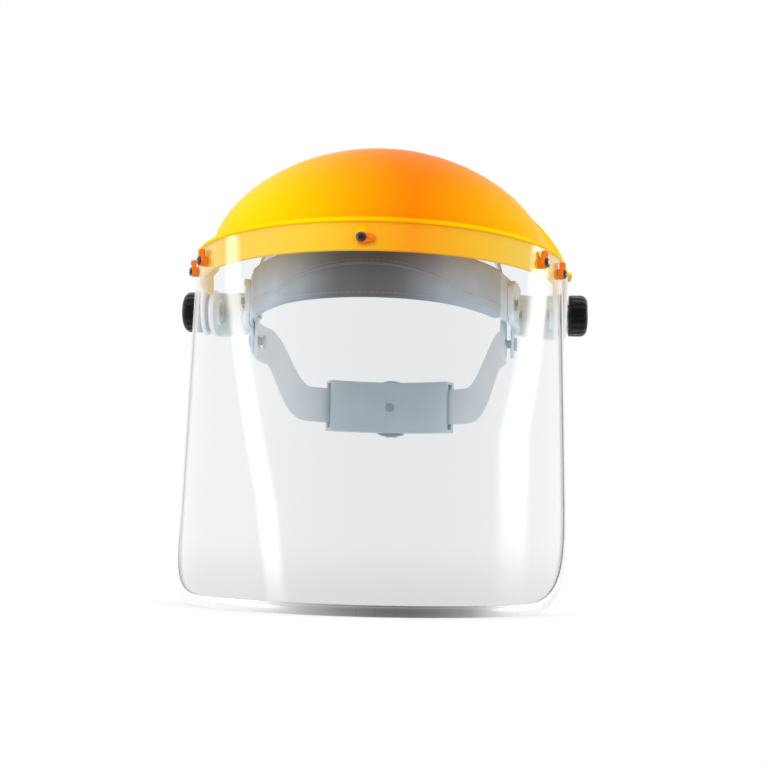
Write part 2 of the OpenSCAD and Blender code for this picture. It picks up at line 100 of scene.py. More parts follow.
DOME_R, DOME_RISE, WALL = 104.0, 70.0, 2.4
REAR_HALF, REAR_RISE, REAR_RUN = 119.0, 78.0, 38.0
EAR_IN, EAR_OUT, EAR_R, BORE_R = 114.1, 116.5, 15.0, 3.1
PAD_IN, ARM_TOP = 108.5, 14.5
# Bearing of each latch round the rim, and how far its tab is turned
LATCHES = {"front": (0, -90), "left_fore": (60, 0), "left_aft": (76, 0),
           "right_fore": (-60, 0), "right_aft": (-76, 0)}
TAB_R, TIP_R, TAB_REACH = 3.0, 2.0, 5.4
FRONT_R, FRONT_Y, FRONT_A = 65.0, -53.0, 53.13
SIDE_R, SIDE_X, OVAL_Y = 150.0, 68.0, -2.0
# From a form drawn in plan to one that faces +X
TO_SIDE = Matrix(((0, 0, 1, 0), (1, 0, 0, 0), (0, 1, 0, 0), (0, 0, 0, 1)))


def smooth(x):
    x = min(max(x, 0.0), 1.0)
    return x * x * (3 - 2 * x)


# ---------- mesh helpers ----------

def add_object(name, data):
    ob = bpy.data.objects.new(name, data)
    bpy.context.scene.collection.objects.link(ob)
    return ob


def mesh_object(name, verts, faces, material, body, weld=0.0, angle=40.0):
    """A smooth-shaded mesh from millimetre points, riding on a body."""
    me = bpy.data.meshes.new(name)
    me.from_pydata([(v[0] * MM, v[1] * MM, v[2] * MM) for v in verts], [], faces)
    bm = bmesh.new()
    bm.from_mesh(me)
    if weld:
        bmesh.ops.remove_doubles(bm, verts=bm.verts, dist=weld * MM)
    bmesh.ops.dissolve_degenerate(bm, edges=bm.edges, dist=1e-7)
    bmesh.ops.recalc_face_normals(bm, faces=bm.faces)
    bm.to_mesh(me)
    bm.free()
    for p in me.polygons:
        p.use_smooth = True
    me.set_sharp_from_angle(angle=rad(angle))
    ob = add_object(name, me)
    if material is not None:
        me.materials.append(material)
    if body is not None:
        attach(ob, body)
    return ob


def stand_for(ob, name):
    """Shows an object instead of a CAD node, by hiding the node."""
    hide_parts(name)


def bake(ob):
    """Turns the modifiers into the object's own mesh."""
    mesh = bpy.data.meshes.new_from_object(ob.evaluated_get(bpy.context.evaluated_depsgraph_get()))
    ob.modifiers.clear()
    ob.data = mesh
    return mesh


class Build:
    """Collects several closed forms into one mesh."""

    def __init__(self):
        self.verts = []
        self.faces = []

    def add(self, verts, faces, matrix=None):
        base = len(self.verts)
        for v in verts:
            p = Vector(v)
            if matrix is not None:
                p = matrix @ p
            self.verts.append(tuple(p))
        self.faces += [tuple(i + base for i in f) for f in faces]
        return self

    def mirrored(self):
        """The same mesh on the other side of the head."""
        other = Build()
        other.verts = [(-v[0], v[1], v[2]) for v in self.verts]
        other.faces = [tuple(reversed(f)) for f in self.faces]
        return other

    def both_sides(self):
        other = self.mirrored()
        self.add(other.verts, other.faces)
        return self

    def make(self, name, material, body, weld=0.0, angle=40.0):
        return mesh_object(name, self.verts, self.faces, material, body, weld, angle)


def loft(rings, closed=False):
    """Quads between closed rings of points, with flat ends unless the path is closed."""
    n = len(rings[0])
    verts = [p for ring in rings for p in ring]
    faces = []
    count = len(rings)
    for i in range(count if closed else count - 1):
        a = i * n
        b = ((i + 1) % count) * n
        for j in range(n):
            k = (j + 1) % n
            faces.append((a + j, a + k, b + k, b + j))
    if not closed:
        faces.append(tuple(range(n - 1, -1, -1)))
        faces.append(tuple(range((count - 1) * n, count * n)))
    return verts, faces


def round_rect(w, h, r, n=4):
    """A rectangle with round corners, as a loop of points round its middle."""
    r = min(r, w / 2 - 1e-3, h / 2 - 1e-3)
    pts = []
    for cx, cy, a0 in ((w / 2 - r, h / 2 - r, 0), (-w / 2 + r, h / 2 - r, 90),
                       (-w / 2 + r, -h / 2 + r, 180), (w / 2 - r, -h / 2 + r, 270)):
        for i in range(n + 1):
            a = rad(a0 + 90 * i / n)
            pts.append((cx + r * math.cos(a), cy + r * math.sin(a)))
    return pts


def inset(loop, e):
    """The loop moved inwards by e. The loop runs anticlockwise."""
    n = len(loop)
    out = []
    for i in range(n):
        ax, ay = loop[i - 1]
        bx, by = loop[(i + 1) % n]
        tx, ty = bx - ax, by - ay
        length = math.hypot(tx, ty) or 1.0
        out.append((loop[i][0] - ty / length * e, loop[i][1] + tx / length * e))
    return out


def pillow(loop, z0, z1, r0=0.3, r1=0.5, n=3):
    """A flat form with rounded edges, from an outline and two heights."""
    rings = [[(x, y, z0 + r0 * (1 - math.cos(rad(90 * i / n)))) for x, y in
              inset(loop, r0 * (1 - math.sin(rad(90 * i / n))))] for i in range(n + 1)]
    rings += [[(x, y, z1 - r1 * (1 - math.sin(rad(90 * i / n)))) for x, y in
               inset(loop, r1 * (1 - math.cos(rad(90 * i / n))))] for i in range(n + 1)]
    return loft(rings)


def turned(profile, count, shape=None):
    """A closed profile of (radius, height) points turned round Z. shape(angle, r, h) changes the radius."""
    rings = []
    for i in range(count):
        a = 2 * math.pi * i / count
        ring = []
        for r, h in profile:
            rr = shape(a, r, h) if shape else r
            ring.append((rr * math.cos(a), rr * math.sin(a), h))
        rings.append(ring)
    return loft(rings, closed=True)


def tube(path, radius, n=10):
    """A round rod along a path of points."""
    rings = []
    for i, p in enumerate(path):
        a = Vector(path[max(i - 1, 0)])
        b = Vector(path[min(i + 1, len(path) - 1)])
        t = (b - a).normalized()
        side = t.cross(Vector((0, 0, 1)))
        if side.length < 1e-4:
            side = t.cross(Vector((1, 0, 0)))
        side.normalize()
        up = side.cross(t)
        rings.append([tuple(Vector(p) + side * radius * math.cos(2 * math.pi * j / n)
                            + up * radius * math.sin(2 * math.pi * j / n)) for j in range(n)])
    return loft(rings)


# ---------- materials ----------

def new_material(name):
    m = bpy.data.materials.new(name)
    m.use_nodes = True
    m.node_tree.nodes.clear()
    return m, m.node_tree


def node(tree, kind, inputs=None, **props):
    n = tree.nodes.new(kind)
    for k, v in props.items():
        setattr(n, k, v)
    for k, v in (inputs or {}).items():
        if isinstance(v, bpy.types.NodeSocket):
            tree.links.new(v, n.inputs[k])
        else:
            n.inputs[k].default_value = v
    return n


def calc(tree, operation, a, b=0.0, c=0.0, clamp=False):
    return node(tree, "ShaderNodeMath", {0: a, 1: b, 2: c}, operation=operation, use_clamp=clamp).outputs[0]


def remap(tree, value, a0, a1, b0, b1, kind="LINEAR"):
    inputs = {0: value, 1: a0, 2: a1, 3: b0, 4: b1}
    return node(tree, "ShaderNodeMapRange", inputs, interpolation_type=kind).outputs[0]


def object_coords(tree):
    return node(tree, "ShaderNodeTexCoord").outputs["Object"]


def noise_tex(tree, coords, scale, detail=2.0):
    inputs = {"Vector": coords, "Scale": scale, "Detail": detail}
    return node(tree, "ShaderNodeTexNoise", inputs).outputs["Fac"]


def bumps(tree, height, strength, distance):
    inputs = {"Height": height, "Strength": strength, "Distance": distance}
    return node(tree, "ShaderNodeBump", inputs).outputs["Normal"]


def mix_colour(tree, fac, a, b, blend="MIX"):
    return node(tree, "ShaderNodeMix", {0: fac, 6: a, 7: b}, data_type="RGBA", blend_type=blend).outputs[2]


def rgb(r, g, b):
    return (r, g, b, 1.0)


def finish_surface(tree, shader):
    out = node(tree, "ShaderNodeOutputMaterial")
    tree.links.new(shader, out.inputs["Surface"])


def principled(tree, inputs):
    finish_surface(tree, node(tree, "ShaderNodeBsdfPrincipled", inputs).outputs[0])


def paint_side_light(t, coords, middle, painted_light_side_colour, x0=25.0, x1=72.0):
    """Painted light: a colour that runs from the middle of the head to a paler colour at each side, standing
    in for the light and reflections that fall there.
    """
    x = calc(t, "ABSOLUTE", node(t, "ShaderNodeSeparateXYZ", {0: coords}).outputs[0])
    return mix_colour(t, remap(t, x, x0 * MM, x1 * MM, 0.0, 1.0, "SMOOTHSTEP"), rgb(*middle), rgb(*painted_light_side_colour))


def moulded(name, colour, rough=0.4, spec=0.5, grain=0.15, coat=0.0, wear=0.25, vary=0.06, painted_light_side_colour=None):
    """Injection-moulded plastic: fine grain, faint flow marks, edges rubbed lighter."""
    m, t = new_material(name)
    coords = object_coords(t)
    flow = noise_tex(t, coords, 45.0, 4.0)
    fine = noise_tex(t, coords, 1800.0)
    point = node(t, "ShaderNodeNewGeometry").outputs["Pointiness"]
    edge = remap(t, point, 0.52, 0.6, 0.0, wear)
    light = rgb(*[min(1.0, c * 1.5 + 0.02) for c in colour])
    # Painted light: with a side colour given, the plastic turns paler towards each side of the head, standing
    # in for light and reflections falling there.
    if painted_light_side_colour:
        tone = remap(t, flow, 0.0, 1.0, 1 - 2 * vary, 1 + 2 * vary)
        base = mix_colour(t, 1.0, paint_side_light(t, coords, colour, painted_light_side_colour), tone, "MULTIPLY")
    else:
        dark = rgb(*[c * (1 - 2 * vary) for c in colour])
        pale = rgb(*[min(1.0, c * (1 + 2 * vary)) for c in colour])
        base = mix_colour(t, flow, dark, pale)
    base = mix_colour(t, edge, base, light)
    roughness = remap(t, flow, 0.3, 0.7, rough - 0.07, rough + 0.07)
    principled(t, {"Base Color": base, "Roughness": roughness, "Specular IOR Level": spec,
                   "Coat Weight": coat, "Coat Roughness": 0.12, "Normal": bumps(t, fine, grain, 0.0001)})
    return m


def metal(name, colour, rough=0.3, brushed=0.2, stretch=(1, 1, 1), dark=0.75, painted_side_highlight=0.0):
    """Metal with a brushed grain and faint tarnish."""
    m, t = new_material(name)
    coords = object_coords(t)
    mapped = node(t, "ShaderNodeMapping", {"Vector": coords, "Scale": stretch})
    grain = noise_tex(t, mapped.outputs[0], 900.0, 3.0)
    stain = noise_tex(t, coords, 70.0, 4.0)
    base = mix_colour(t, stain, rgb(*[c * dark for c in colour]), rgb(*colour))
    spread = 0.02 + 0.4 * brushed
    roughness = remap(t, grain, 0.25, 0.75, rough - spread, rough + spread)
    # Painted highlight: where it runs round each side of the head the metal turns into matt light grey,
    # standing in for the bright reflections there.
    x = calc(t, "ABSOLUTE", node(t, "ShaderNodeSeparateXYZ", {0: coords}).outputs[0])
    pure = remap(t, x, 60 * MM, 100 * MM, 1.0, 1.0 - painted_side_highlight)
    principled(t, {"Base Color": base, "Metallic": pure, "Roughness": roughness,
                   "Normal": bumps(t, grain, brushed, 0.00005)})
    return m


def crown_plastic():
    """Glossy plastic with painted light and shade in its colour: orange at the brow where shade is painted,
    yellow towards each side where light is painted.
    """
    m, t = new_material("crown_plastic")
    coords = object_coords(t)
    sep = node(t, "ShaderNodeSeparateXYZ", {0: coords})
    flow = noise_tex(t, coords, 30.0, 3.0)
    # Painted light and shade: the colour is orange, painted shade, round a line a little off the middle, and
    # yellow, painted light, further from it.
    painted_light_distance = calc(t, "ABSOLUTE", calc(t, "SUBTRACT", sep.outputs[0], 26 * MM))
    painted_light_distance = calc(t, "ADD", painted_light_distance, remap(t, flow, 0.3, 0.7, -1.5 * MM, 1.5 * MM))
    # Painted reflection: the band and the foot of the ledge are pushed towards yellow, standing in for the
    # visor's pale reflection over them.
    brow = remap(t, sep.outputs[2], (RIM_Z + 2.2) * MM, (RIM_Z + 6) * MM, 41 * MM, 0.0, "SMOOTHSTEP")
    # Painted shade: higher up the dome the colour is pushed back towards orange.
    crest_painted_shade = remap(t, sep.outputs[2], (RIM_Z + 25) * MM, (RIM_Z + 65) * MM, 0.0, 15 * MM)
    painted_light_distance = calc(t, "MAXIMUM", calc(t, "SUBTRACT", calc(t, "ADD", painted_light_distance, brow), crest_painted_shade), 0.0)
    ramp = node(t, "ShaderNodeValToRGB", {"Fac": remap(t, painted_light_distance, 0.0, 100 * MM, 0.0, 1.0)})
    ramp.color_ramp.interpolation = "B_SPLINE"
    stops = ramp.color_ramp.elements
    stops[0].position = 0.0
    stops[0].color = rgb(1.0, 0.18, 0.0)
    stops[1].position = 1.0
    stops[1].color = rgb(1.0, 0.64, 0.0)
    for pos, green in ((0.25, 0.28), (0.5, 0.41), (0.75, 0.55)):
        stops.new(pos).color = rgb(1.0, green, 0.0)
    fine = noise_tex(t, coords, 1500.0)
    swell = noise_tex(t, coords, 12.0)
    height = calc(t, "ADD", fine, calc(t, "MULTIPLY", swell, 1.5))
    rough = remap(t, flow, 0.3, 0.7, 0.3, 0.4)
    principled(t, {"Base Color": ramp.outputs["Color"], "Roughness": rough, "IOR": 1.12,
                   "Specular IOR Level": 0.2, "Normal": bumps(t, height, 0.08, 0.0001)})
    return m


def clear_sheet(name, tint, glow=0.02, extra=0.0):
    """A thin polished sheet: lets light through, and reflects more at a glancing angle."""
    m, t = new_material(name)
    coords = object_coords(t)
    wave = noise_tex(t, coords, 9.0, 1.0)
    drawn = node(t, "ShaderNodeMapping", {"Vector": coords, "Scale": (1, 1, 0.06)}).outputs[0]
    hair = noise_tex(t, drawn, 900.0)
    geo = node(t, "ShaderNodeNewGeometry")
    facing = node(t, "ShaderNodeVectorMath", {0: geo.outputs["Normal"], 1: geo.outputs["Incoming"]},
                  operation="DOT_PRODUCT").outputs["Value"]
    graze = calc(t, "SUBTRACT", 1.0, calc(t, "ABSOLUTE", facing), clamp=True)
    fresnel = calc(t, "MULTIPLY_ADD", calc(t, "POWER", graze, 5.0), 0.95 - extra, 0.045 + extra)
    seen = node(t, "ShaderNodeLightPath").outputs["Is Camera Ray"]
    z = node(t, "ShaderNodeSeparateXYZ", {0: coords}).outputs[2]
    # Painted shade: the sheet is tinted darker over its lowest few centimetres, standing in for shadow near
    # the floor.
    foot = remap(t, z, (FOOT_Z + 5) * MM, (FOOT_Z + 40) * MM, 0.93, 1.0, "SMOOTHSTEP")
    shade = mix_colour(t, 1.0, tint, foot, "MULTIPLY")
    clear = node(t, "ShaderNodeBsdfTransparent", {"Color": mix_colour(t, seen, rgb(1, 1, 1), shade)})
    gloss = node(t, "ShaderNodeBsdfGlossy", {"Color": rgb(1, 1, 1), "Normal": bumps(t, wave, 0.12, 0.001),
                                             "Roughness": remap(t, hair, 0.3, 0.7, glow, glow + 0.05)})
    mix = node(t, "ShaderNodeMixShader", {0: fresnel, 1: clear.outputs[0], 2: gloss.outputs[0]})
    finish_surface(t, mix.outputs[0])
    return m


def fabric(name, colour, pitch=0.9, sheen=0.3, painted_light_side_colour=None):
    """Plain weave, read from the piece's own UV map in millimetres."""
    m, t = new_material(name)
    uv = node(t, "ShaderNodeUVMap").outputs[0]
    sep = node(t, "ShaderNodeSeparateXYZ", {0: uv})
    k = 2 * math.pi / pitch
    warp = calc(t, "SINE", calc(t, "MULTIPLY", sep.outputs[0], k))
    weft = calc(t, "SINE", calc(t, "MULTIPLY", sep.outputs[1], k))
    weave = calc(t, "MULTIPLY", warp, weft)
    thread = calc(t, "ADD", calc(t, "ABSOLUTE", warp), calc(t, "ABSOLUTE", weft))
    height = calc(t, "ADD", weave, calc(t, "MULTIPLY", thread, 0.5))
    coords = object_coords(t)
    blot = noise_tex(t, coords, 60.0, 4.0)
    fuzz = noise_tex(t, coords, 2500.0)
    # Painted light: the cloth turns paler towards each side of the head, standing in for light falling there.
    plain = paint_side_light(t, coords, colour, painted_light_side_colour or colour, 10.0, 62.0)
    base = mix_colour(t, 1.0, plain, remap(t, blot, 0.0, 1.0, 0.8, 1.2), "MULTIPLY")
    base = mix_colour(t, 1.0, base, remap(t, weave, -1, 1, 1.0, 1.3), "MULTIPLY")
    total = calc(t, "ADD", height, calc(t, "MULTIPLY", fuzz, 1.2))
    principled(t, {"Base Color": base, "Roughness": 0.9, "Specular IOR Level": 0.2, "Sheen Weight": sheen,
                   "Sheen Roughness": 0.4, "Normal": bumps(t, total, 0.5, 0.00015)})
    return m


CROWN = crown_plastic()
# Painted highlight: the ears belong to the yellow crown moulding, and this pale grey stands in for the side
# light washing them out.
EAR_PAINTED_GLARE = moulded("ear_painted_glare", (0.78, 0.82, 0.85), 0.35, 0.4, 0.1, vary=0.03)
CLEAR = clear_sheet("visor_clear", rgb(0.925, 0.935, 0.94))
CLEAR_EDGE = clear_sheet("visor_edge", rgb(0.8, 0.87, 0.9), glow=0.15, extra=0.2)
# The binding's matt light-grey run round each side of the head is a painted highlight.
BINDING = metal("binding_metal", (0.86, 0.87, 0.89), 0.3, 0.04, (1, 1, 0.1), 0.95, painted_side_highlight=0.85)
LATCH = moulded("latch_plastic", (0.76, 0.15, 0.0), 0.3, 0.2, 0.05, coat=0.1)
RIVET = metal("rivet_metal", (0.12, 0.12, 0.13), 0.18, 0.1)
STEEL = metal("washer_metal", (0.62, 0.62, 0.63), 0.3, 0.25, (1, 6, 1))
# The second colours of the headband, sweatband, tape, thread and straps are painted light: paler tones
# towards each side of the head that stand in for light and reflections falling there.
HEADBAND = moulded("headband_plastic", (0.1, 0.102, 0.115), 0.45, 0.35, 0.25, painted_light_side_colour=(0.68, 0.82, 0.94))
PIN = moulded("temple_pin_plastic", (0.5, 0.56, 0.61), 0.45, 0.4, 0.2)
SWEAT = fabric("sweatband_fabric", (0.105, 0.107, 0.115), painted_light_side_colour=(0.44, 0.53, 0.62))
SWEAT_EDGE = fabric("sweatband_tape", (0.16, 0.16, 0.165), 0.6, painted_light_side_colour=(0.5, 0.52, 0.55))
THREAD = fabric("sweatband_thread", (0.2, 0.2, 0.21), 0.4, 0.5, painted_light_side_colour=(0.58, 0.6, 0.63))
STRAP = moulded("strap_plastic", (0.43, 0.53, 0.61), 0.38, 0.4, 0.2, wear=0.1, vary=0.04,
                painted_light_side_colour=(0.68, 0.77, 0.83))
ARM = moulded("arm_plastic", (0.78, 0.87, 0.93), 0.4, 0.4, 0.2, vary=0.04)
BLACK = moulded("knob_black", (0.004, 0.0045, 0.005), 0.22, 0.2, 0.06, coat=0.06, wear=0.03)
BRASS = metal("nut_brass", (0.75, 0.52, 0.2), 0.25, 0.2)
NATURAL = moulded("pinion_plastic", (0.72, 0.72, 0.68), 0.45, 0.4, 0.15)
PLATE = moulded("plate_plastic", (0.2, 0.2, 0.21), 0.5, 0.4, 0.25)
GREY_KNOB = moulded("ratchet_knob_plastic", (0.3, 0.36, 0.44), 0.36, 0.45, 0.25, wear=0.12)


# ---------- crown ----------

POWER = 2 / 1.85


def flare_half(s):
    """Half width and rise of the shell at a distance behind the rim centre."""
    u = min(max(s, 0.0), REAR_RUN) / REAR_RUN
    return DOME_R + (REAR_HALF - DOME_R) * u ** 1.7, DOME_RISE + (REAR_RISE - DOME_RISE) * u ** 1.7


def ledge_out(s):
    """Outer edge of the ledge at a distance behind the rim centre."""
    return LEDGE_R + (SHELL_HALF - LEDGE_R) * smooth((s - 6) / 18)


def arc_point(a, b, t):
    return a * max(math.cos(rad(t)), 0.0) ** POWER, b * math.sin(rad(t)) ** POWER


def rear_end(z):
    """Where the slanted rear edge of the shell lies at a height over the ledge."""
    return REAR_RUN - 19.0 * (z + 1.0) / 96.0


LEDGE_ROWS = 11
DOME_T = [8, 11, 14.5, 18.5, 23, 28, 33.5, 39, 45, 51, 57, 63, 69, 74.5, 79.5, 84, 87.5, 90]


def shell_column(s):
    """Outer and inner skin at one station, as matched (radius, height) pairs from the ledge to the apex."""
    a, b = flare_half(s)
    out = ledge_out(s)
    foot, low = arc_point(a, b, 5.5)
    flat = max(out - 1.2 - foot, 0.4)
    f = min(3.0, 0.7 * flat)
    outer = [(out - 1.2, 0.0), (out - 0.35, 0.1), (out, 0.6), (out, 1.3), (out - 0.3, 2.05),
             (out - 1.0, LEDGE_T)]
    for k in range(1, 5):
        q = rad(90 * k / 4)
        outer.append((foot + f * (1 - math.sin(q)), LEDGE_T + f * (1 - math.cos(q)) * 0.9))
    outer.append((foot + 0.02, max(low, LEDGE_T + f)))
    ia, ib = a - WALL, b - WALL
    inner = []
    r0 = out - 1.6
    for k in range(LEDGE_ROWS):
        u = k / (LEDGE_ROWS - 1)
        if u < 0.6:
            inner.append((r0 + (ia + 1.4 - r0) * u / 0.6, 0.0))
        else:
            q = rad(90 * (u - 0.6) / 0.4)
            inner.append((ia + 1.4 * (1 - math.sin(q)), 1.4 * (1 - math.cos(q)) * 1.6))
    for t in DOME_T:
        outer.append(arc_point(a, b, t))
        inner.append(arc_point(ia, ib, t))
    return outer, inner


def crown_shell():
    """Dome, ledge, rear bead and band as one moulding, and the two ears."""
    rows = LEDGE_ROWS + len(DOME_T)
    rear_n, front_n = 12, 120
    columns = []
    stations = [("L", k / rear_n) for k in range(rear_n, 0, -1)]
    stations += [("F", -90 + 180 * k / front_n) for k in range(front_n + 1)]
    stations += [("R", k / rear_n) for k in range(1, rear_n + 1)]
    for kind, value in stations:
        if kind == "F":
            outer, inner = shell_column(0.0)
            c, s = math.cos(rad(value)), math.sin(rad(value))
            columns.append([[(r * s, RIM_Y - r * c, RIM_Z + z) for r, z in skin]
                            for skin in (outer, inner)])
            continue
        sign = 1 if kind == "R" else -1
        skins = [[], []]
        for i in range(rows):
            for side in (0, 1):
                s = REAR_RUN * value
                for _ in range(8):
                    r, z = shell_column(s)[side][i]
                    s = rear_end(z) * value
                r, z = shell_column(s)[side][i]
                skins[side].append((sign * r, RIM_Y + s, RIM_Z + z))
        columns.append(skins)
    verts, faces = [], []
    for outer, inner in columns:
        verts += outer + list(reversed(inner))
    n = 2 * rows
    for c in range(len(columns) - 1):
        a, b = c * n, (c + 1) * n
        for j in range(n):
            if j == rows - 1:
                continue
            k = (j + 1) % n
            faces.append((a + j, a + k, b + k, b + j))
    for c in (0, len(columns) - 1):
        base = c * n
        for i in range(rows - 1):
            faces.append((base + i, base + i + 1, base + n - 2 - i, base + n - 1 - i))
    shape = Build().add(verts, faces)
    path = []
    for side in (1, -1):
        line = []
        for t in [3, 5.5] + DOME_T:
            s = rear_end(20.0)
            for _ in range(8):
                a, b = flare_half(s)
                r, z = arc_point(a - WALL / 2, b - WALL / 2, t)
                s = rear_end(z)
            line.append((side * r, RIM_Y + s, RIM_Z + z))
        path += line if side == 1 else list(reversed(line))[1:]
    shape.add(*tube(path, 1.75, 12))
    tail = 90 + math.degrees(math.asin(BAND_TAIL / BAND_R))
    section = [(BAND_IN + (BAND_R - BAND_IN) / 2 + x, -(BAND_H - 0.5) / 2 + z) for x, z in
               round_rect(BAND_R - BAND_IN, BAND_H + 0.5, 0.55)]
    rings = []
    count = 150
    for i in range(count + 1):
        a = rad(-tail + 2 * tail * i / count)
        rings.append([(r * math.sin(a), RIM_Y - r * math.cos(a), RIM_Z + z) for r, z in section])
    shape.add(*loft(rings))
    ob = shape.make("crown_shell_moulding", CROWN, "crown", weld=0.02, angle=50)
    stand_for(ob, "crown_shell")
    # The ears take the pale grey painted highlight, not the crown's yellow.
    ears = Build().add(*ear()).both_sides().make("crown_shell_ears", EAR_PAINTED_GLARE, "crown", weld=0.02, angle=50)


def ear():
    """The plate that hangs from the ledge, with a raised boss round its bore."""
    rings = []
    count = 96
    for i in range(count):
        a = 2 * math.pi * i / count
        c, s = math.cos(a), math.sin(a)
        reach = EAR_R
        if s > 0:
            wide = 10.4 + 6.0 * (1 - s) if c > 0 else 15.6 + 1.5 * s
            reach = min((RIM_Z + 1.2) / s, max(EAR_R, wide / max(abs(c), 0.2)))
        section = [(BORE_R, EAR_IN + 0.2), (3.4, EAR_IN), (reach - 0.6, EAR_IN), (reach - 0.15, EAR_IN + 0.2),
                   (reach, EAR_IN + 0.7), (reach, EAR_OUT - 0.7), (reach - 0.15, EAR_OUT - 0.2),
                   (reach - 0.6, EAR_OUT), (8.6, EAR_OUT), (3.4, EAR_OUT), (BORE_R, EAR_OUT - 0.2)]
        rings.append([(x, r * c, r * s) for r, x in section])
    return loft(rings, closed=True)


# ---------- visor ----------

def sheet_radius(z):
    return SHEET_R + FLARE * (SHEET_TOP - z) / SHEET_H


def sheet_edge_y(z, m):
    """How far back the sheet reaches at a height, m inside the edge of the binding."""
    y1, z0, r = TAIL_Y - m, FOOT_Z + m, CORNER_R - m
    if z >= z0 + r:
        return y1
    d = max(z0 + r - z, 0.0)
    return y1 - r + math.sqrt(max(r * r - d * d, 0.0))


def visor_window():
    """Bent sheet with round lower corners and a slot at each latch."""
    m = EDGE_GAP
    z0 = FOOT_Z + m
    r = CORNER_R - m
    heights = [SHEET_TOP - k * 2.0 for k in range(18)]
    top, mid = heights[-1], z0 + r
    heights += [top - (top - mid) * k / 24 for k in range(1, 25)]
    heights += [z0 + r - r * math.sin(rad(90 * k / 30)) for k in range(1, 31)]
    columns = 196
    verts, faces = [], []
    for z in heights:
        rad_in = sheet_radius(z)
        half = math.acos(max(-1.0, min(1.0, (RIM_Y - sheet_edge_y(z, m)) / (rad_in + SHEET_T / 2))))
        for k in range(columns + 1):
            a = half * (2 * k / columns - 1)
            for rr in (rad_in, rad_in + SHEET_T):
                verts.append((rr * math.sin(a), RIM_Y - rr * math.cos(a), z))
    row = 2 * (columns + 1)
    for i in range(len(heights) - 1):
        for k in range(columns):
            p = i * row + 2 * k
            q = p + row
            faces.append((p, q, q + 2, p + 2))
            faces.append((p + 1, p + 3, q + 3, q + 1))
        for p in (i * row, i * row + 2 * columns):
            faces.append((p, p + 1, p + row + 1, p + row))
    for i in (0, len(heights) - 1):
        for k in range(columns):
            p = i * row + 2 * k
            faces.append((p, p + 2, p + 3, p + 1))
    ob = mesh_object("visor_window_sheet", verts, faces, CLEAR, None, angle=50)
    ob.data.materials.append(CLEAR_EDGE)
    cutter = Build()
    for a, turn in LATCHES.values():
        loop = tab_outline(TAB_R + 0.4, TIP_R + 0.4, TAB_REACH)
        slot_turn = 0 if a == 0 else (-90 if a > 0 else 90)
        cutter.add(*pillow(loop, SHEET_R - 3, SHEET_R + 6, 0.01, 0.01, 1), rim_matrix(a, slot_turn))
    cut = cutter.make("slot_cutter", None, None)
    mod = ob.modifiers.new("slots", "BOOLEAN")
    mod.operation = "DIFFERENCE"
    mod.solver = "EXACT"
    mod.object = cut
    bpy.context.view_layer.update()
    me = bake(ob)
    bpy.data.objects.remove(cut)
    for p in me.polygons:
        c = p.center / MM
        radial = Vector((c.x, c.y - RIM_Y, 0)).normalized()
        flat = abs(p.normal.dot(radial))
        p.material_index = 0 if flat > 0.9 else 1
        p.use_smooth = True
    me.set_sharp_from_angle(angle=rad(40))
    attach(ob, "crown")
    stand_for(ob, "visor_window")


def edge_path():
    """Points along the sheet's lower edge from one side to the other, on its middle surface."""
    y1 = TAIL_Y
    half_line = [(y1, BIND_HI[2] - (BIND_HI[2] - FOOT_Z - CORNER_R) * k / 30) for k in range(30)]
    half_line += [(y1 - CORNER_R + CORNER_R * math.cos(rad(90 * k / 24)),
                   FOOT_Z + CORNER_R - CORNER_R * math.sin(rad(90 * k / 24))) for k in range(25)]
    right = []
    for y, z in half_line:
        r = sheet_radius(z) + SHEET_T / 2
        right.append(Vector((math.sqrt(max(r * r - (y - RIM_Y) ** 2, 0)), y, z)))
    r = sheet_radius(FOOT_Z) + SHEET_T / 2
    start = math.acos((RIM_Y - (y1 - CORNER_R)) / r)
    front = [Vector((r * math.sin(a), RIM_Y - r * math.cos(a), FOOT_Z))
             for a in (start * (1 - k / 45) for k in range(1, 91))]
    left = [Vector((-p.x, p.y, p.z)) for p in reversed(right)]
    return right + front[:-1] + left


def visor_binding():
    """Folded metal edging with a rounded fold and a pressed line along its inner edge."""
    path = edge_path()
    w = BIND_W - 0.6
    fold = [(-0.35, -1.05), (-0.55, -0.7), (-0.6, 0.0), (-0.55, 0.7), (-0.35, 1.05)]
    outer = [(0.2, 1.15), (w * 0.5, 1.2), (w - 1.1, 1.12), (w - 0.75, 0.98), (w - 0.4, 1.08), (w, 0.95),
             (w, 0.53)]
    slot = [(0.05, 0.53), (0.05, -0.53)]
    back = [(x, -y) for x, y in reversed(outer)]
    section = fold + outer + slot + back
    rings = []
    for i, p in enumerate(path):
        t = (path[min(i + 1, len(path) - 1)] - path[max(i - 1, 0)]).normalized()
        n = Vector((p.x, p.y - RIM_Y, 0)).normalized()
        n = (n - t * n.dot(t)).normalized()
        inward = t.cross(n).normalized()
        if inward.z < 0 and abs(inward.z) > 0.5:
            inward = -inward
        if abs(inward.z) <= 0.5 and inward.y > 0:
            inward = -inward
        rings.append([tuple(p + inward * a + n * b) for a, b in section])
    ob = Build().add(*loft(rings)).make("visor_binding_edging", BINDING, "crown", angle=35)
    stand_for(ob, "visor_binding")


# ---------- latches ----------

def rim_matrix(a, turn):
    """From a latch's own frame, +Z outwards and +Y up, to the row frame."""
    return (Matrix.Translation((0, RIM_Y, LATCH_Z)) @ Matrix.Rotation(rad(a), 4, "Z")
            @ Matrix.Rotation(rad(90), 4, "X") @ Matrix.Rotation(rad(turn), 4, "Z"))


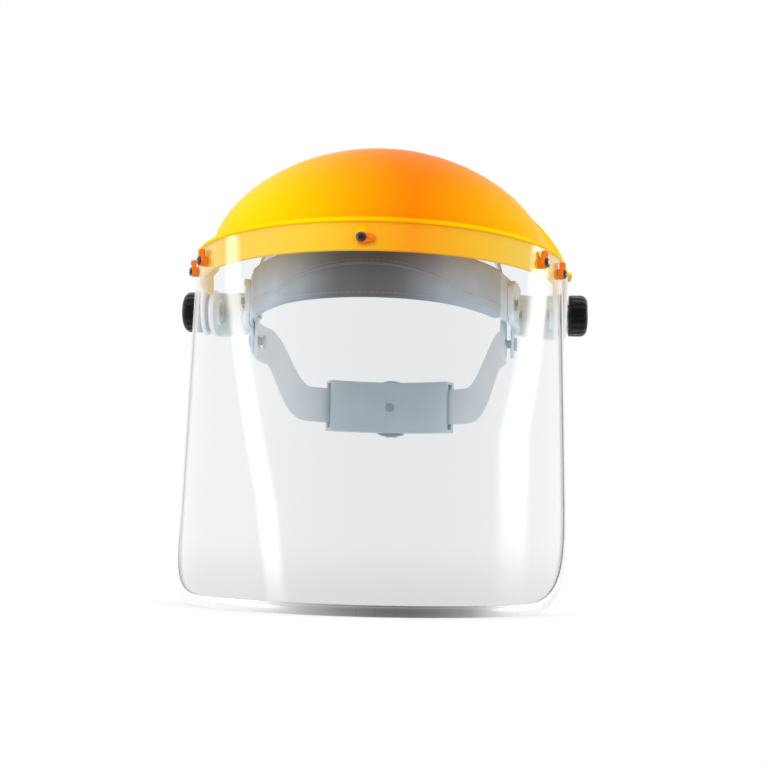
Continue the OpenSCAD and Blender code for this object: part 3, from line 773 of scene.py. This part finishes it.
def tab_outline(r0, r1, reach, n=14):
    """A round boss and a smaller round tip, joined by straight sides, anticlockwise."""
    lean = math.degrees(math.asin((r0 - r1) / reach))
    pts = []
    for i in range(n + 1):
        a = rad(180 - lean + (180 + 2 * lean) * i / n)
        pts.append((r0 * math.cos(a), r0 * math.sin(a)))
    for i in range(n + 1):
        a = rad(lean + (180 - 2 * lean) * i / n)
        pts.append((r1 * math.cos(a), reach + r1 * math.sin(a)))
    return pts


def latches():
    """Turn buttons: a boss on the rivet, a tip over the sheet and a small grip."""
    for name, (a, turn) in LATCHES.items():
        b = Build()
        place = rim_matrix(a, turn)
        b.add(*turned([(1.55, BAND_R + 0.2), (2.85, BAND_R + 0.2), (2.9, BAND_R + 0.4),
                       (2.9, LATCH_FACE + 0.4), (1.55, LATCH_FACE + 0.4)], 40), place)
        tab = tab_outline(TAB_R, TIP_R, TAB_REACH)
        b.add(*pillow(tab, LATCH_FACE, LATCH_FACE + 2.6, 0.35, 0.8, 4), place)
        grip = [(1.5 * math.cos(rad(x * 15)), TAB_REACH + 1.5 * math.sin(rad(x * 15))) for x in range(24)]
        b.add(*pillow(grip, LATCH_FACE + 2.2, LATCH_FACE + 3.4, 0.1, 0.5, 3), place)
        rib = [(-1.1, 2.9), (1.1, 2.9), (1.0, 3.5), (-1.0, 3.5)]
        b.add(*pillow(rib, LATCH_FACE + 2.3, LATCH_FACE + 2.95, 0.05, 0.2, 2), place)
        ob = b.make(f"latch_{name}_tab", LATCH, f"latch_{name}", angle=50)
        stand_for(ob, f"latch_{name}")


# ---------- headgear ----------

def oval_point(d, side_a=None, front_a=None):
    """A point on the head oval, d outside its inner face."""
    if front_a is not None:
        s, c = math.sin(rad(front_a)), math.cos(rad(front_a))
        return (FRONT_R + d) * s, FRONT_Y - (FRONT_R + d) * c
    s, c = math.sin(rad(side_a)), math.cos(rad(side_a))
    return (SIDE_R + d) * c - SIDE_X, OVAL_Y + (SIDE_R + d) * s


def oval_stations():
    """Stations (point, outward) from the right temple round the forehead to the left temple."""
    right = [((SIDE_R - SIDE_X), OVAL_Y + 10 - 10 * k / 4, 1.0, 0.0) for k in range(4)]
    for k in range(17):
        a = (FRONT_A - 90) * k / 16
        x, y = oval_point(0, side_a=a)
        right.append((x, y, math.cos(rad(a)), math.sin(rad(a))))
    front = []
    for k in range(1, 60):
        a = FRONT_A * (1 - k / 30)
        x, y = oval_point(0, front_a=a)
        front.append((x, y, math.sin(rad(a)), -math.cos(rad(a))))
    left = [(-x, y, -nx, ny) for x, y, nx, ny in reversed(right)]
    return right + front + left


def headband():
    """Moulded band, with a tongue below each temple for the nape strap's pin."""
    b = Build()
    height, wall = 27.0, 1.98
    section = [(x + 1.0, z + BAND_TOP - height / 2) for x, z in round_rect(wall, height, 0.7)]
    rings = [[(x + nx * d, y + ny * d, z) for d, z in section] for x, y, nx, ny in oval_stations()]
    b.add(*loft(rings))
    tongue = []
    for i in range(25):
        a = rad(180 + 180 * i / 24)
        tongue.append((OVAL_Y + 8.9 * math.cos(a), PIN_Z + 8.9 * math.sin(a)))
    tongue += [(OVAL_Y + 8.9, -13), (OVAL_Y + 9.9, -10.2), (OVAL_Y - 13, -10.2), (OVAL_Y - 9.4, -13)]
    tongues = Build().add(*pillow(tongue, 82.02, 83.98, 0.4, 0.4), TO_SIDE).both_sides()
    b.add(tongues.verts, tongues.faces)
    stand_for(b.make("headband_moulding", HEADBAND, "headgear", angle=45), "headband")


def arm_path():
    """Middle line of the left arm in plan, with its outboard direction and its lower and upper edge."""
    pts = []
    r = SIDE_R + 2.1 + 1.5
    for k in range(13):
        a = -15.2 + 15.2 * k / 12
        pts.append((r * math.cos(rad(a)) - SIDE_X, OVAL_Y + r * math.sin(rad(a))))
    inner, outer, corner_y, bend = 85.6, 110.0, 5.5, 3.0
    x0, x1 = inner + bend, outer - bend
    pts += [(inner, 0.0), (inner, 2.5), (inner, 4.5)]
    for k in range(1, 7):
        q = rad(180 - 90 * k / 6)
        pts.append((x0 + bend * math.cos(q), corner_y + bend * math.sin(q)))
    pts += [(x0 + (x1 - x0) * k / 5, corner_y + bend) for k in range(1, 6)]
    for k in range(1, 7):
        q = rad(90 - 90 * k / 6)
        pts.append((x1 + bend * math.cos(q), corner_y + bend * math.sin(q)))
    pts += [(outer, y) for y in (4, 2, 0, -2, -4, -6, -8, -10, -11.5, -12.8, -13.6, -14.1, -14.4)]
    return pts


def arm(mirror):
    """Ribbed bar from the headband out to the pivot, with a round pad for the bolt's head."""
    pts = arm_path()
    rings = []
    for i, (x, y) in enumerate(pts):
        ax, ay = pts[max(i - 1, 0)]
        bx, by = pts[min(i + 1, len(pts) - 1)]
        tx, ty = bx - ax, by - ay
        length = math.hypot(tx, ty)
        nx, ny = ty / length, -tx / length
        pad = smooth((x - 100) / 8) if y > -15.5 and x > 99 else 0.0
        top = ARM_TOP
        low = -11.5 - 3.0 * smooth((x - 87) / 8)
        if x > 109.5 and y < 0:
            top = math.sqrt(max(ARM_TOP ** 2 - y * y, 1.2))
            low = -top
        if y < -30 and x < 90:
            near = max(y + 42.1, 0.02)
            cut = max(0.0, 5.0 - near)
            round_off = 5.0 - math.sqrt(max(25.0 - cut * cut, 0.0))
            top -= round_off
            low += round_off
        bead = 0.7 * (1 - pad)
        h = top - low
        mid = (top + low) / 2
        e = min(2.2, h * 0.2)
        half = h / 2
        section = [(-1.5, -half + 0.5), (-1.1, -half), (1.1 + bead, -half), (1.5 + bead, -half + 0.5),
                   (1.5 + bead, -half + e - 0.5), (1.5, -half + e), (1.5, 0.0), (1.5, half - e),
                   (1.5 + bead, half - e + 0.5), (1.5 + bead, half - 0.5), (1.1 + bead, half), (-1.1, half),
                   (-1.5, half - 0.5), (-1.5, 0.0)]
        rings.append([(x + nx * d, y + ny * d, mid + z) for d, z in section])
    b = Build().add(*loft(rings))
    b.add(*turned([(6.2, PAD_IN - 2.6), (8.2, PAD_IN - 2.6), (8.5, PAD_IN - 2.2), (8.5, PAD_IN - 0.6),
                   (9.3, PAD_IN + 0.1), (9.3, PAD_IN + 0.4), (3.05, PAD_IN + 0.4), (3.05, PAD_IN - 1.4),
                   (6.2, PAD_IN - 1.4)], 48), TO_SIDE)
    if mirror:
        b = b.mirrored()
    side = "right" if mirror else "left"
    stand_for(b.make(f"arm_{side}_moulding", ARM, "headgear"), f"arm_{side}")


def pivot_knob(side):
    """Hand knob with rounded flutes, a soft shoulder, a dished face and a raised hub."""
    x0 = span("pivot_knob_left")[0][0]
    r = 13.2

    def flute(a, radius, h):
        if radius < 11.6 or h < 1.2:
            return radius
        depth = 0.3 * smooth((h - 1.2) / 1.2) * smooth((radius - 11.2) / 1.2)
        return radius - depth * abs(math.cos(9 * a)) ** 3

    side_wall = [(4.7, 0.0), (8.0, 0.0), (r - 1.3, 0.0), (r - 0.5, 0.25), (r - 0.05, 0.9), (r, 1.6), (r, 2.6),
                 (r, 5.0), (r, 7.4), (r - 0.1, 8.3), (r - 0.5, 9.4), (r - 1.2, 10.4), (r - 2.1, 11.1)]
    dish = [(r - 3.1, 11.55), (r - 3.9, 11.65), (r - 4.6, 11.4), (r - 5.1, 10.8), (r - 5.4, 10.1),
            (7.3, 9.5), (6.9, 9.35), (6.5, 9.5)]
    hub = [(6.25, 10.2), (6.0, 10.9), (5.5, 11.3), (4.8, 11.45), (3.4, 11.35), (3.1, 11.0), (2.6, 10.9),
           (0.03, 10.9), (0.03, 9.4), (4.7, 9.4)]
    b = Build().add(*turned(side_wall + dish + hub, 216, flute), Matrix.Translation((x0, 0, 0)) @ TO_SIDE)
    if side == "right":
        b = b.mirrored()
    stand_for(b.make(f"pivot_knob_{side}_grip", BLACK, f"knob_{side}", angle=50), f"pivot_knob_{side}")


def ratchet_knob():
    """Adjusting knob with a ribbed rim, a soft shoulder and a sunk middle."""
    lo, hi = span("ratchet_knob")
    cx, _, cz = joint_pos("ratchet_turn")
    r = (hi[0] - lo[0]) / 2

    def rib(a, radius, h):
        if radius < r - 2.5 or h < 0.8:
            return radius
        depth = 0.75 * smooth((h - 0.8) / 1.5) * smooth((radius - r + 2.5) / 1.5)
        return radius - depth * max(0.0, math.cos(24 * a)) ** 2

    back = [(4.1, 3.0), (15.4, 3.0), (15.4, 0.3), (15.7, 0.0)]
    rim = [(r - 1.0, 0.0), (r - 0.4, 0.2), (r, 0.8), (r, 2.4), (r, 6.0), (r, 10.0), (r - 0.3, 11.2),
           (r - 1.0, 12.2), (r - 2.1, 12.8), (r - 3.2, 13.0), (r - 4.3, 12.9), (r - 5.2, 12.4)]
    hub = [(r - 6.2, 12.1), (10.0, 11.9), (6.4, 11.7), (5.9, 12.0), (5.3, 12.1), (4.5, 12.0), (4.1, 11.6),
           (4.0, 10.6), (4.0, 6.0), (1.65, 6.0), (1.65, 4.1), (4.1, 4.1)]
    turn = Matrix(((0, 1, 0, cx), (0, 0, 1, lo[1]), (1, 0, 0, cz), (0, 0, 0, 1)))
    b = Build().add(*turned(back + rim + hub, 240, rib), turn)
    stand_for(b.make("ratchet_knob_grip", GREY_KNOB, "ratchet", angle=50), "ratchet_knob")


# ---------- sweatband ----------

FRONT_LEN = FRONT_R * rad(FRONT_A)
BROW_HALF = 101.5
PAD_LO, PAD_HI = -12.2, 17.2


def brow_point(u, d, z):
    """A point u along the brow from the middle of the forehead, d outside the headband's inner face."""
    w = abs(u)
    if w <= FRONT_LEN:
        x, y = oval_point(d, front_a=math.degrees(w / FRONT_R))
    else:
        x, y = oval_point(d, side_a=FRONT_A - 90 + math.degrees((w - FRONT_LEN) / SIDE_R))
    return math.copysign(x, u), y, z


def brow_coords(p):
    """The (u, d) of a point, in millimetres."""
    a = math.atan2(abs(p.x), FRONT_Y - p.y)
    if a <= rad(FRONT_A):
        return math.copysign(FRONT_R * a, p.x), math.hypot(p.x, p.y - FRONT_Y) - FRONT_R
    b = math.atan2(p.y - OVAL_Y, abs(p.x) + SIDE_X)
    return (math.copysign(FRONT_LEN + SIDE_R * (b - rad(FRONT_A - 90)), p.x),
            math.hypot(abs(p.x) + SIDE_X, p.y - OVAL_Y) - SIDE_R)


def seam_height(u):
    """The front seam arches over the middle of the forehead."""
    return 6.0 - 9.0 * min(abs(u) / 51.0, 1.12) ** 2


def pin_weight(p):
    """How firmly the cloth is held at a point: ends, front seam, folds and the quilting at the back."""
    u, d = brow_coords(p)
    weight = 0.0
    if abs(p.z - PAD_LO) < 0.9 or abs(p.z - PAD_HI) < 0.9:
        weight = 0.6
    if d < -1.0 and abs(abs(u) % 24 - 12) < 1.0:
        weight = max(weight, 0.75)
    if abs(u) > BROW_HALF - 1.5 or (d > 1.5 and abs(p.z - seam_height(u)) < 1.1):
        weight = 1.0
    return weight


def inflate(ob):
    """Blows the sewn cover up over its foam with a short cloth simulation, then keeps the result."""
    remesh = ob.modifiers.new("remesh", "REMESH")
    remesh.mode = "VOXEL"
    remesh.voxel_size = 1.5 * MM
    me = bake(ob)
    start = [v.co.copy() for v in me.vertices]
    pins = ob.vertex_groups.new(name="pins")
    for v in me.vertices:
        weight = pin_weight(v.co / MM)
        if weight:
            pins.add([v.index], weight, "REPLACE")
    cloth = ob.modifiers.new("cloth", "CLOTH")
    cs = cloth.settings
    cs.use_pressure = True
    cs.uniform_pressure_force = 4.0
    cs.effector_weights.gravity = 0.0
    cs.vertex_group_mass = "pins"
    cs.tension_stiffness = 12
    cs.compression_stiffness = 12
    cs.shear_stiffness = 4
    cs.bending_stiffness = 0.4
    cs.mass = 0.15
    cloth.collision_settings.use_collision = False
    scene = bpy.context.scene
    for f in range(1, 21):
        scene.frame_set(f)
    done = bake(ob)
    scene.frame_set(1)
    for v, v0 in zip(done.vertices, start):
        move = v.co - v0
        if move.length > 2.0 * MM:
            move = move.normalized() * 2.0 * MM
        p = (v0 + move) / MM
        u, d = brow_coords(p)
        v.co = Vector(brow_point(u, min(max(d, -5.2), 3.9), min(max(p.z, -13.4), 18.4))) * MM
    for p in done.polygons:
        p.use_smooth = True


def weave_uv(ob):
    """Lays the weave out along the brow, in millimetres."""
    me = ob.data
    layer = me.uv_layers.new(name="weave")
    for loop in me.loops:
        p = me.vertices[loop.vertex_index].co / MM
        u, d = brow_coords(p)
        layer.data[loop.index].uv = (u, p.z + 0.8 * d)


def sweatband():
    """Padded wrap round the forehead of the headband, with a taped seam and three rows of stitches."""
    section = [(x - 0.1, z + (PAD_LO + PAD_HI) / 2) for x, z in round_rect(6.6, PAD_HI - PAD_LO, 2.4, 5)]
    count = 110
    rings = [[brow_point(BROW_HALF * (2 * i / count - 1), d, z) for d, z in section]
             for i in range(count + 1)]
    ob = mesh_object("sweatband_pad", *loft(rings), SWEAT, None)
    inflate(ob)
    weave_uv(ob)
    sub = ob.modifiers.new("round", "SUBSURF")
    sub.levels = 1
    sub.render_levels = 1
    ob.data.materials.clear()
    ob.data.materials.append(SWEAT)
    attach(ob, "headgear")
    stand_for(ob, "sweatband")
    surface = BVHTree.FromObject(ob, bpy.context.evaluated_depsgraph_get())

    def on_front(u, z, lift):
        """A point on the pad's front face, raised by lift."""
        near = Vector(brow_point(u, 0.0, z))
        out = (Vector(brow_point(u, 10.0, z)) - near).normalized()
        hit = surface.ray_cast((near + out * 20) * MM, -out)
        foot = hit[0] / MM if hit[0] else near + out * 3.2
        return foot + out * lift

    tape, thread = Build(), Build()
    rings = []
    for i in range(121):
        u = (BROW_HALF - 1.0) * (i / 60 - 1)
        z = seam_height(u)
        foot = on_front(u, z, 0.2)
        out = (foot - Vector(brow_point(u, 0.0, z))).normalized()
        rings.append([tuple(foot + out * d + Vector((0, 0, dz))) for d, dz in round_rect(0.7, 1.5, 0.3, 2)])
    tape.add(*loft(rings))
    for line in (lambda u: seam_height(u) + 2.0, lambda u: PAD_LO + 2.2, lambda u: PAD_HI - 2.2):
        u = 1.6 - BROW_HALF
        while u < BROW_HALF - 3.6:
            path = []
            for k in range(5):
                q = u + 2.1 * k / 4
                path.append(tuple(on_front(q, line(q), 0.22 * math.sin(math.pi * k / 4) - 0.05)))
            thread.add(*tube(path, 0.2, 6))
            u += 3.1
    for b, name, mat in ((tape, "sweatband_seam_tape", SWEAT_EDGE), (thread, "sweatband_stitches", THREAD)):
        piece = b.make(name, mat, None, angle=60)
        weave_uv(piece)
        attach(piece, "headgear")


# ---------- CAD parts that keep their own shape ----------

def dress(name, material, bevel):
    """Gives a CAD part its material, softened edges and smooth faces."""
    o = NODES[name]
    o.data.materials.clear()
    o.data.materials.append(material)
    if bevel:
        weld = o.modifiers.new("weld", "WELD")
        weld.merge_threshold = 2e-6
        bev = o.modifiers.new("edges", "BEVEL")
        bev.width = bevel * MM
        bev.segments = 2
        bev.limit_method = "ANGLE"
        bev.angle_limit = rad(32)
        normals = o.modifiers.new("normals", "WEIGHTED_NORMAL")
        normals.weight = 80


crown_shell()
visor_window()
visor_binding()
latches()
headband()
arm(False)
arm(True)
pivot_knob("left")
pivot_knob("right")
ratchet_knob()
sweatband()

for part, mat, size in (
        ("latch_rivets", RIVET, 0.15), ("latch_washers", STEEL, 0.1), ("arm_rivets", STEEL, 0.2),
        ("crown_strap_left", STRAP, 0.3), ("crown_strap_right", STRAP, 0.3), ("temple_pins", PIN, 0.3),
        ("pivot_bolts", STEEL, 0.3), ("stop_plates", PLATE, 0.2), ("friction_washers", NATURAL, 0.0),
        ("spring_washers", STEEL, 0.15), ("knob_nut_left", BRASS, 0.2), ("knob_nut_right", BRASS, 0.2),
        ("nape_strap_left", STRAP, 0.3), ("nape_strap_right", STRAP, 0.3), ("ratchet_housing", STRAP, 0.15),
        ("ratchet_cover", STRAP, 0.4), ("ratchet_pinion", GREY_KNOB, 0.15),
        ("ratchet_screw", STEEL, 0.2), ("ratchet_spring", STEEL, 0.1)):
    dress(part, mat, size)


# ---------- studio ----------

def stage_mesh(name, verts, faces, material):
    """A mesh that belongs to the studio and not to the object."""
    me = bpy.data.meshes.new(name)
    me.from_pydata(verts, [], faces)
    me.materials.append(material)
    ob = add_object(name, me)
    return ob


def floor():
    """Plain white floor with a soft shading where the visor stands on it."""
    m, t = new_material("studio_floor")
    coords = object_coords(t)
    dust = noise_tex(t, coords, 20.0, 3.0)
    near = node(t, "ShaderNodeAmbientOcclusion", {"Distance": 0.03})
    near.samples = 8
    white = remap(t, near.outputs["AO"], 0.2, 0.95, 0.8, 1.0, "SMOOTHSTEP")
    shown = node(t, "ShaderNodeEmission", {"Color": rgb(1, 1, 1), "Strength": white})
    bounce = remap(t, dust, 0.0, 1.0, 0.86, 0.94)
    given = node(t, "ShaderNodeEmission", {"Color": rgb(1, 1, 1), "Strength": bounce})
    seen = node(t, "ShaderNodeLightPath").outputs["Is Camera Ray"]
    mix = node(t, "ShaderNodeMixShader", {0: seen, 1: given.outputs[0], 2: shown.outputs[0]})
    finish_surface(t, mix.outputs[0])
    m.cycles.emission_sampling = "NONE"
    z = CAD_BOX[0].z - 0.0004
    n = 48
    verts = [(6 * math.cos(2 * math.pi * i / n), 6 * math.sin(2 * math.pi * i / n), z) for i in range(n)]
    ob = stage_mesh("floor", verts, [tuple(range(n))], m)
    ob.visible_glossy = False


def softbox(name, rows, strength):
    """A bright panel with soft edges, seen in reflections only. Rows are (elevation, azimuth, azimuth)."""
    far = 2.5
    m, t = new_material(name)
    uv = node(t, "ShaderNodeSeparateXYZ", {0: node(t, "ShaderNodeUVMap").outputs[0]})
    edge = None
    for axis, soft in ((0, 0.35), (1, 0.3)):
        c = uv.outputs[axis]
        side = calc(t, "MINIMUM", c, calc(t, "SUBTRACT", 1.0, c))
        part = remap(t, side, 0.0, soft, 0.0, 1.0, "SMOOTHSTEP")
        edge = part if edge is None else calc(t, "MULTIPLY", edge, part)
    power = calc(t, "MULTIPLY", edge, strength)
    glow = node(t, "ShaderNodeEmission", {"Color": rgb(1, 1, 1), "Strength": power})
    clear = node(t, "ShaderNodeBsdfTransparent")
    both = node(t, "ShaderNodeAddShader", {0: glow.outputs[0], 1: clear.outputs[0]})
    finish_surface(t, both.outputs[0])
    m.cycles.emission_sampling = "NONE"
    verts, faces, uvs = [], [], []
    fine, across = 24, 12
    for i in range(fine + 1):
        v = i / fine * (len(rows) - 1)
        k = min(int(v), len(rows) - 2)
        el, a0, a1 = (p + (q - p) * (v - k) for p, q in zip(rows[k], rows[k + 1]))
        for j in range(across + 1):
            a, e = rad(a0 + (a1 - a0) * j / across), rad(el)
            level = far * math.cos(e)
            verts.append((level * math.sin(a), -level * math.cos(a), far * math.sin(e)))
            uvs.append((j / across, i / fine))
    for i in range(fine):
        for j in range(across):
            p = i * (across + 1) + j
            faces.append((p, p + 1, p + across + 2, p + across + 1))
    ob = stage_mesh(name, verts, faces, m)
    layer = ob.data.uv_layers.new(name="edge")
    for loop in ob.data.loops:
        layer.data[loop.index].uv = uvs[loop.vertex_index]
    ob.visible_camera = False
    ob.visible_diffuse = False
    ob.visible_transmission = False
    ob.visible_shadow = False


def studio_world():
    """White to the camera and even soft light on matt surfaces. Mirrors see a room that is dark in front."""
    world = bpy.data.worlds.new("studio")
    bpy.context.scene.world = world
    world.use_nodes = True
    world.cycles.sampling_method = "NONE"
    t = world.node_tree
    t.nodes.clear()
    d = node(t, "ShaderNodeTexCoord").outputs["Generated"]
    sep = node(t, "ShaderNodeSeparateXYZ", {0: d})
    turn = rad(20)
    ahead = calc(t, "ADD", calc(t, "MULTIPLY", sep.outputs[1], -math.cos(turn)),
                 calc(t, "MULTIPLY", sep.outputs[0], math.sin(turn)))
    room = remap(t, ahead, 0.0, 1.0, 1.05, 0.12)
    above = remap(t, sep.outputs[2], 0.3, 0.9, 0.0, 1.0, "SMOOTHSTEP")
    room = calc(t, "ADD", room, calc(t, "MULTIPLY", above, 0.2))
    soft = remap(t, sep.outputs[2], -0.4, 0.6, 1.04, 1.12, "SMOOTHSTEP")
    path = node(t, "ShaderNodeLightPath")
    strength = soft
    for kind, light in (("Is Glossy Ray", room), ("Is Camera Ray", 1.0)):
        inputs = {0: path.outputs[kind], 2: strength, 3: light}
        strength = node(t, "ShaderNodeMix", inputs, data_type="FLOAT").outputs[0]
    shown = node(t, "ShaderNodeBackground", {"Color": rgb(1, 1, 1), "Strength": strength})
    out = node(t, "ShaderNodeOutputWorld")
    t.links.new(shown.outputs[0], out.inputs["Surface"])


def key_light():
    """One large soft lamp in front, a little above the camera."""
    data = bpy.data.lights.new("key", "AREA")
    data.shape = "DISK"
    data.size = 0.9
    data.energy = 6.0
    data.specular_factor = 0.0
    ob = add_object("key", data)
    place = Vector((-0.25, -1.4, 0.15))
    ob.matrix_world = Matrix.Translation(place) @ (-place).to_track_quat("-Z", "Y").to_matrix().to_4x4()
    ob.visible_glossy = False


def camera():
    """Main viewpoint: a little to the wearer's left of front and low, looking slightly up."""
    centre = (CAD_BOX[0] + CAD_BOX[1]) / 2
    yaw, pitch, roll = rad(4.77), rad(6.9), rad(1.42)
    forward = Vector((-math.sin(yaw) * math.cos(pitch), math.cos(yaw) * math.cos(pitch), math.sin(pitch)))
    right = Vector((math.cos(yaw), math.sin(yaw), 0))
    up = right.cross(forward)
    right, up = (right * math.cos(roll) + up * math.sin(roll), up * math.cos(roll) - right * math.sin(roll))
    data = bpy.data.cameras.new("camera")
    data.sensor_width = 36.0
    data.lens = 54.19
    data.clip_start = 0.02
    data.clip_end = 50.0
    ob = add_object("camera", data)
    turn = Matrix((right, up, -forward)).transposed().to_4x4()
    ob.matrix_world = Matrix.Translation(centre + Vector((0.0627, -0.706, -0.0928))) @ turn
    bpy.context.scene.camera = ob


floor()
softbox("softbox_right", [(-8, 72, 106), (4, 76, 108), (11, 100, 130), (17, 110, 136), (30, 116, 140)], 4.5)
softbox("softbox_left", [(-8, -35, -52), (0, -49, -66), (12, -82, -101), (22, -96, -114)], 4.0)
key_light()
studio_world()
camera()
bpy.context.scene.view_settings.view_transform = "Standard"
